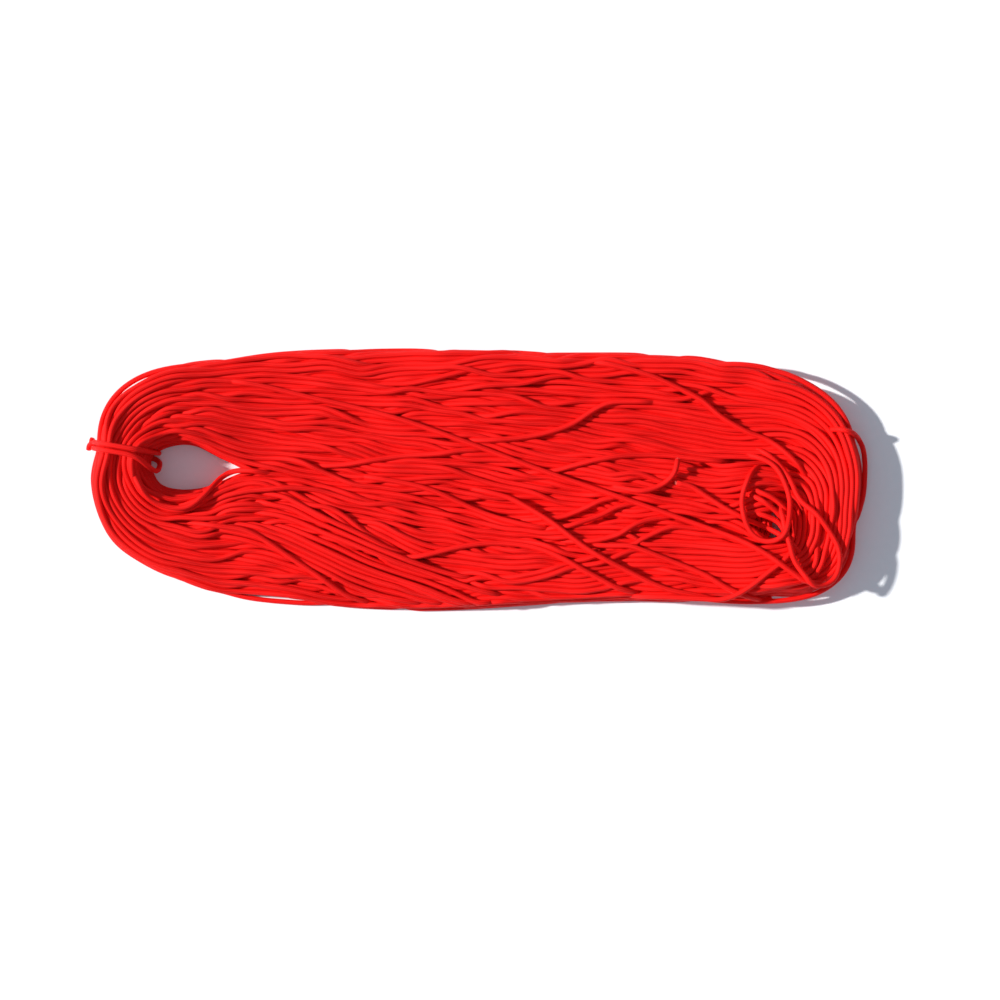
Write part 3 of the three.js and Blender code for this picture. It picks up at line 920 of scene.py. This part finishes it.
def tie_ring(strands, beside):
    """One wrap in the tie's plane, as (inwards, up): from the outside down, under, up in the eye, back."""
    points = np.vstack([resample(line, 0.001) for line in strands])
    inwards = (points[:, :2] - TIE_START) @ TIE_ALONG
    sideways = (points[:, :2] - TIE_START) @ beside
    near = (np.abs(sideways) < 0.9 * CORD) & (inwards > TIE_FROM) & (inwards < TIE_TO)
    hull = convex_hull(np.column_stack([inwards[near], points[near, 2]]))
    once = np.radians(np.linspace(180, 540, 181))
    outwards = np.column_stack([np.cos(once), np.sin(once)])
    ring = resample(hull[np.argmax(outwards @ hull.T, axis=1)] + CORD * outwards, WRAP_STEP)
    ring[:, 1] = np.maximum(ring[:, 1], RADIUS)
    return ring


def gathering_tie_line(strands):
    """The gathering tie's centre line: two wraps drawn round the turns, its ends crossed in a half knot."""
    beside = np.array([-TIE_ALONG[1], TIE_ALONG[0]])
    ring = tie_ring(strands, beside)
    twice = np.vstack([ring, ring[1:]])
    share = np.arange(len(twice)) / len(ring)
    slack = smooth_step(1 - np.abs(share - 0.46) / 0.17)
    side = TIE_SPACING * (smooth_step((share - 0.92) / 0.3) - 0.5)
    side -= SLACK_ASIDE * slack
    wraps = np.column_stack([twice[:, 0] + SLACK_INWARDS * slack, side, twice[:, 1]])
    wraps = blur(wraps.T, 12).T
    skip = 6
    wraps = wraps[skip:-skip]
    knot = np.array([ring[0, 0], 0.0, ring[0, 1]])
    first_end = knot + CORD * np.array(FIRST_END)
    last_end = knot + CORD * np.array(LAST_END)
    local = catmull_rom(np.vstack([first_end, wraps[::2], last_end]))
    plan = TIE_START + local[:, :1] * TIE_ALONG + local[:, 1:2] * beside
    return np.column_stack([plan, local[:, 2]])


# ---------------------------------------------------------------- meshes
FLATS = 1.03  # makes a cord with flat sides as thick as a round one
BORE = 0.58  # a cut end's opening, as a share of the cord's radius
BORE_RINGS = 3  # rings that line the opening
CUT_SHARE = [BORE] * (BORE_RINGS + 1) + [0.84, 0.97]


def frames_along(line):
    """Unit side and lift at every point of a line, without twist."""
    tangent = np.gradient(line, axis=0)
    tangent /= np.linalg.norm(tangent, axis=1)[:, None] + 1e-12
    side = np.zeros_like(line)
    start = np.cross(tangent[0], (0.0, 0.0, 1.0))
    if np.linalg.norm(start) < 0.1:
        start = np.cross(tangent[0], (0.0, 1.0, 0.0))
    current = start / np.linalg.norm(start)
    for index, along in enumerate(tangent):
        current = current - along * np.dot(current, along)
        current /= math.sqrt(np.dot(current, current))
        side[index] = current
    return side, np.cross(side, tangent)


def ring_plan(count, cut):
    """Which point of the line each ring sits at, and its share of the radius; a cut first end is open."""
    at = np.arange(count)
    share = np.ones(count)
    if cut:
        at = np.concatenate([np.arange(BORE_RINGS, 0, -1), [0, 0, 0], at[1:]])
        share = np.concatenate([CUT_SHARE, share[1:]])
    return at, share


def tube(name, line, radius, cut=False):
    """Closed cord tube along a line, with its length and turn around as a UV map."""
    line = np.asarray(line, float)
    at, share = ring_plan(len(line), cut)
    side, lift = (axis[at][:, None, :] for axis in frames_along(line))
    rings = line[at]
    corner = np.arange(SIDES)
    angle = (2 * math.pi * corner / SIDES)[:, None]
    around = np.cos(angle) * side + np.sin(angle) * lift
    vertices = (rings[:, None, :] + around * (radius * FLATS * share)[:, None, None]).reshape(-1, 3)
    ring_start = np.arange(len(rings) - 1)[:, None] * SIDES
    first = ring_start + corner
    after = ring_start + (corner + 1) % SIDES
    quads = np.stack([first, after, after + SIDES, first + SIDES], -1).reshape(-1, 4)
    caps = np.stack([corner[::-1], corner + (len(rings) - 1) * SIDES])
    mesh = make_mesh(name, vertices, quads, caps)
    arc = arc_along(rings)
    write_uv(mesh, "Cord", *cord_uv(arc))
    write_uv(mesh, "OFBake", *atlas_uv(arc))
    mesh.validate()
    piece = bpy.data.objects.new(name, mesh)
    bpy.context.scene.collection.objects.link(piece)
    return piece


def make_mesh(name, vertices, quads, caps):
    """A smooth-shaded mesh of quads and end caps."""
    mesh = bpy.data.meshes.new(name)
    mesh.vertices.add(len(vertices))
    mesh.vertices.foreach_set("co", vertices.ravel())
    loops = np.concatenate([quads.ravel(), caps.ravel()])
    starts = np.concatenate([np.arange(len(quads)) * 4, quads.size + np.arange(len(caps)) * SIDES])
    mesh.loops.add(len(loops))
    mesh.loops.foreach_set("vertex_index", loops)
    mesh.polygons.add(len(starts))
    mesh.polygons.foreach_set("loop_start", starts)
    mesh.update(calc_edges=True)
    mesh.polygons.foreach_set("use_smooth", np.ones(len(starts), bool))
    return mesh


def write_uv(mesh, name, quads, caps):
    """A UV map from each quad's corners and each cap's corners."""
    layer = mesh.uv_layers.new(name=name)
    layer.data.foreach_set("uv", np.vstack([quads.reshape(-1, 2), caps]).ravel())


def quad_corners(start, stop, low, high):
    """UV corners of quads that reach from start to stop along and from low to high around."""
    along = np.stack([start, start, stop, stop], -1)
    around = np.stack([low, high, high, low], -1)
    return np.stack([along, around], -1)


def cord_uv(arc):
    """Corners of every quad, along in cord diameters and around from 0 to 1, and those of the caps."""
    start, stop = (np.repeat(end / CORD, SIDES) for end in (arc[:-1], arc[1:]))
    low = np.tile(np.arange(SIDES) / SIDES, len(arc) - 1)
    caps = np.zeros((2 * SIDES, 2))
    caps[SIDES:, 0] = arc[-1] / CORD
    return quad_corners(start, stop, low, low + 1 / SIDES), caps


ROW_MARGIN = 0.04  # left free at each side of a row of the UV map, as a share of its width
ROW_USED = 0.92


def atlas_uv(arc):
    """The tube's skin laid in rows in the unit square, as a second UV map for a picture of its material."""
    girth = math.pi * CORD
    rows = max(1, round(math.sqrt(arc[-1] / girth)))
    row_length = arc[-1] / rows * 1.0001
    row = np.minimum((0.5 * (arc[:-1] + arc[1:]) / row_length).astype(int), rows - 1)
    start, stop = (
        np.repeat(np.clip((end - row * row_length) / row_length, 0, 1), SIDES)
        for end in (arc[:-1], arc[1:])
    )
    base = np.repeat(row, SIDES) + ROW_MARGIN
    low = np.tile(np.arange(SIDES) / SIDES, len(arc) - 1)
    low_v = (base + ROW_USED * low) / rows
    high_v = (base + ROW_USED * (low + 1 / SIDES)) / rows
    caps = np.full((2 * SIDES, 2), 0.01)
    return quad_corners(start, stop, low_v, high_v), caps


def yarn_core(name, line):
    """The core's yarns where they show in a cut end, from inside the sheath to a little past it."""
    side, lift = frames_along(line)
    tangent = np.cross(lift[0], side[0])
    yarn = 0.3 * BORE * RADIUS
    parts = []
    for index in range(7):
        bearing = math.radians(60 * index + 12)
        out = 0.0 if index == 6 else 0.66 * BORE * RADIUS
        offset = out * (math.cos(bearing) * side[0] + math.sin(bearing) * lift[0])
        proud = CORD * RNG.uniform(0.12, 0.4)
        splay = offset * RNG.uniform(0.2, 0.9)
        tip = line[0] + offset + splay - tangent * proud
        root = line[0] + offset + tangent * 0.45 * CORD
        parts.append(tube(name, np.linspace(root, tip, 6), yarn))
    return join_pieces(name, parts)


def join_pieces(name, parts):
    """Several tubes as one piece."""
    bpy.ops.object.select_all(action="DESELECT")
    for part in parts:
        part.select_set(True)
    bpy.context.view_layer.objects.active = parts[0]
    bpy.ops.object.join()
    parts[0].name = name
    return parts[0]


# ---------------------------------------------------------------- materials
BRAID_AROUND = 8  # braid crossings around the cord
BRAID_ALONG = 2.5  # braid crossings per cord diameter
FIBRES = 6  # fibre bundles seen around a yarn
PAPER_DARKEST = (0.90, 0.90, 0.90, 1)
PAPER_BRIGHTEST = (0.94, 0.94, 0.94, 1)


class Graph:
    """Short calls for building one material's nodes."""

    def __init__(self, name):
        self.material = bpy.data.materials.new(name)
        self.material.use_nodes = True
        self.tree = self.material.node_tree
        self.shader = self.tree.nodes["Principled BSDF"]

    def node(self, kind):
        return self.tree.nodes.new("ShaderNode" + kind)

    def link(self, value, socket):
        if isinstance(value, (int, float, tuple)):
            socket.default_value = value
        else:
            self.tree.links.new(value, socket)

    def surface(self, name, value):
        self.link(value, self.shader.inputs[name])

    def math(self, operation, *values):
        node = self.node("Math")
        node.operation = operation
        for value, socket in zip(values, node.inputs):
            self.link(value, socket)
        return node.outputs[0]

    def mix(self, share, low, high):
        node = self.node("Mix")
        node.data_type = "RGBA"
        for value, socket in ((share, 0), (low, 6), (high, 7)):
            self.link(value, node.inputs[socket])
        return node.outputs[2]

    def noise(self, scale, detail):
        node = self.node("TexNoise")
        self.link(scale, node.inputs["Scale"])
        self.link(detail, node.inputs["Detail"])
        self.link(self.node("TexCoord").outputs["Object"], node.inputs["Vector"])
        return node.outputs[0]

    def bump(self, height, strength, distance):
        node = self.node("Bump")
        self.link(strength, node.inputs["Strength"])
        self.link(distance, node.inputs["Distance"])
        self.link(height, node.inputs["Height"])
        self.surface("Normal", node.outputs[0])

    def cord_axes(self):
        """Distance along the cord in diameters, and the turn around it from 0 to 1."""
        uv = self.node("UVMap")
        uv.uv_map = "Cord"
        parts = self.node("SeparateXYZ")
        self.link(uv.outputs[0], parts.inputs[0])
        return parts.outputs[0], parts.outputs[1]


def braid_material(name, bright, deep):
    """Braided polyester sheath: two families of slanting strands that pass over and under each other."""
    graph = Graph(name)
    along, around = graph.cord_axes()
    steps = graph.math("MULTIPLY", along, BRAID_ALONG)
    turns = graph.math("MULTIPLY", around, float(BRAID_AROUND))
    right = graph.math("ADD", steps, turns)
    left = graph.math("SUBTRACT", steps, turns)
    crowns = [
        graph.math("SINE", graph.math("MULTIPLY", graph.math("FRACT", slant), math.pi))
        for slant in (right, left)
    ]
    cells = graph.math("ADD", graph.math("FLOOR", right), graph.math("FLOOR", left))
    over = graph.math("PINGPONG", cells, 1.0)
    crown = graph.math("ADD", graph.math("MULTIPLY", over, crowns[0]),
                       graph.math("MULTIPLY", graph.math("SUBTRACT", 1.0, over), crowns[1]))
    wear = graph.noise(45.0, 3.0)
    # base colour lighter on the crowns and darker in the grooves between strands: painted shade, plus
    # random tone from the noise
    shade = graph.math("MULTIPLY_ADD", crown, 0.6, graph.math("MULTIPLY", wear, 0.5))
    graph.surface("Base Color", graph.mix(shade, deep, bright))
    graph.surface("Roughness", graph.math("MULTIPLY_ADD", crown, -0.15, 0.72))
    graph.surface("Specular IOR Level", 0.16)
    graph.bump(crown, 0.5, 0.12 * CORD)
    return graph.material


def yarn_material(name, bright, deep):
    """Parallel core yarns, cut across."""
    graph = Graph(name)
    around = graph.cord_axes()[1]
    fibres = graph.math("SINE", graph.math("MULTIPLY", around, 2 * math.pi * FIBRES))
    shade = graph.math("MULTIPLY_ADD", fibres, 0.3, graph.noise(900.0, 2.0))
    graph.surface("Base Color", graph.mix(shade, deep, bright))
    graph.surface("Roughness", 0.85)
    graph.bump(shade, 0.4, 0.05 * CORD)
    return graph.material


def paper_material(name):
    """Plain white paper with a very faint grain."""
    graph = Graph(name)
    grain = graph.noise(220.0, 2.0)
    graph.surface("Base Color", graph.mix(grain, PAPER_DARKEST, PAPER_BRIGHTEST))
    graph.surface("Roughness", 0.9)
    graph.surface("Specular IOR Level", 0.1)
    return graph.material


# ---------------------------------------------------------------- camera, light and floor
PAPER_WIDTH = 0.577  # floor seen across the picture
CAMERA_HEIGHT = 1.6
SENSOR = 36
TO_SUN = Vector((-1, 0.14, 0.62))
SKY = (0.82, 0.93, 1.1, 1)


def set_stage():
    data = bpy.data.cameras.new("camera")
    data.sensor_width = SENSOR
    data.lens = SENSOR * CAMERA_HEIGHT / PAPER_WIDTH
    camera = bpy.data.objects.new("camera", data)
    camera.location = (0.0121, -0.0115, CAMERA_HEIGHT)
    bpy.context.scene.collection.objects.link(camera)
    bpy.context.scene.camera = camera

    sun = bpy.data.lights.new("key", "SUN")
    sun.energy = 5.3
    sun.angle = math.radians(2.5)
    key = bpy.data.objects.new("key", sun)
    key.rotation_euler = TO_SUN.to_track_quat("Z", "Y").to_euler()
    bpy.context.scene.collection.objects.link(key)

    world = bpy.data.worlds.new("studio")
    world.use_nodes = True
    background = world.node_tree.nodes["Background"]
    background.inputs[0].default_value = SKY
    background.inputs[1].default_value = 0.38
    bpy.context.scene.world = world
    bpy.context.scene.view_settings.view_transform = "Standard"

    bpy.ops.mesh.primitive_plane_add(size=6)
    floor = bpy.context.object
    floor.name = "floor"
    floor.data.materials.append(paper_material("paper"))


# ---------------------------------------------------------------- building
def place_cord(name, line, material, nodes, cut=False):
    """One stretch of cord as a piece of the model, in place of its CAD nodes."""
    piece = tube(name, line, RADIUS, cut=cut)
    piece.data.materials.append(material)
    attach(piece, "root")
    if nodes:
        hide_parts(*nodes)


def place_cut_end(name, line, braid, yarn):
    """A cut end of the long cord: its sheath, and the core's yarns that show in it."""
    core = yarn_core(name + "_yarns", line)
    core.data.materials.clear()
    core.data.materials.append(yarn)
    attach(core, "root")
    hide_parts(name + "_core")
    place_cord(name + "_braid", line, braid, [name + "_sheath"],
               cut=True)


def place_turns(heights, turns, braid):
    """The turns, one layer in each piece. Returns their lines."""
    lines = []
    for index in range(LAYERS):
        after = (index + 1) * PER_LAYER
        lead = turns[after][:1] if after < TURNS else turns[-1][-1:] + 1e-4
        line = even_out(np.vstack(turns[index * PER_LAYER:after] + [lead]))
        nodes = ["wound_turns"] if index == 0 else []
        place_cord(f"turns_layer_{index + 1}", line, braid, nodes)
        lines.append(line)
        stamp(heights, line)
    return lines


def place_crossings(heights, loose_y, loose_z, present, braid):
    """The strands that cross over the turns, lowest first. Returns their lines."""
    lines = []
    for index, name in enumerate(CROSSING):
        here = present[:, index]
        line = np.stack([RUN_X[here], loose_y[here, index], loose_z[here, index]], -1)
        if name in CROSSING_TAIL:
            line = extend_line(heights, line, CROSSING_TAIL[name])
        line = even_out(sink_ends(line, 2.5 * CORD, 3 * CORD))
        nodes = [name + "_strand"] if name + "_strand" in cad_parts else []
        place_cord(name, line, braid, nodes)
        lines.append(line)
        stamp(heights, line)
    return lines


def place_loose(heights, name, route, sunk, nodes, braid):
    """A loose strand on what is already there; sunk is how deep its two ends go, in cord diameters."""
    line = lay_down(heights, route, sunk[0] * CORD, sunk[1] * CORD)
    place_cord(name, even_out(line, 2), braid, nodes)


def place_ties(heights, strands, braid):
    side = side_tie_line(heights)
    place_cord("side_tie_cord", even_out(side, 2), braid, ["side_tie"])
    tie = gathering_tie_line(strands)
    nodes = ["gathering_wrap_upper", "gathering_wrap_lower", "gathering_knot"]
    place_cord("gathering_tie_cord", even_out(tie, 2), braid, nodes)


def main():
    set_stage()
    braid = braid_material("red_braid", (0.97, 0.007, 0.005, 1), (0.70, 0.003, 0.002, 1))
    yarn = yarn_material("red_yarn", (0.86, 0.14, 0.11, 1), (0.62, 0.04, 0.035, 1))
    across, up, room, free, bow_height = wind_turns()
    slack = outline_slack(room, free)
    passes = PASSES
    across, up, loose_y, loose_z, present = settle(across, up, slack, free, bow_height, passes)
    heights = np.zeros(MAP_SHAPE)
    strands = place_turns(heights, turn_points(across, up), braid)
    strands += place_crossings(heights, loose_y, loose_z, present, braid)
    for index, route in enumerate(INNER_STRANDS):
        place_loose(heights, f"inner_strand_{index + 1}", route, (3, 3), [], braid)

    starting = lay_down(heights, STARTING_END + STARTING_TAIL, 0.0, 3 * CORD)
    place_cut_end("starting_end", even_out(starting, 2), braid, yarn)
    finishing = lay_down(heights, FINISHING_END, 0.0, CORD, curl=1.2 * CORD)
    place_cut_end("finishing_end", even_out(finishing, 2), braid, yarn)
    bight = BIGHT_LEAD + LOOSE_BIGHT + BIGHT_TAIL
    place_loose(heights, "bight_over_turns", bight, (3.2, 4), ["loose_bight"], braid)
    place_loose(heights, "loop_over_turns", LOOSE_LOOP + LOOP_TAIL, (3, 3), ["loose_loop"], braid)
    place_loose(heights, "eye_strand", EYE_STRAND, (2, 2), [], braid)
    place_ties(heights, strands, braid)


main()
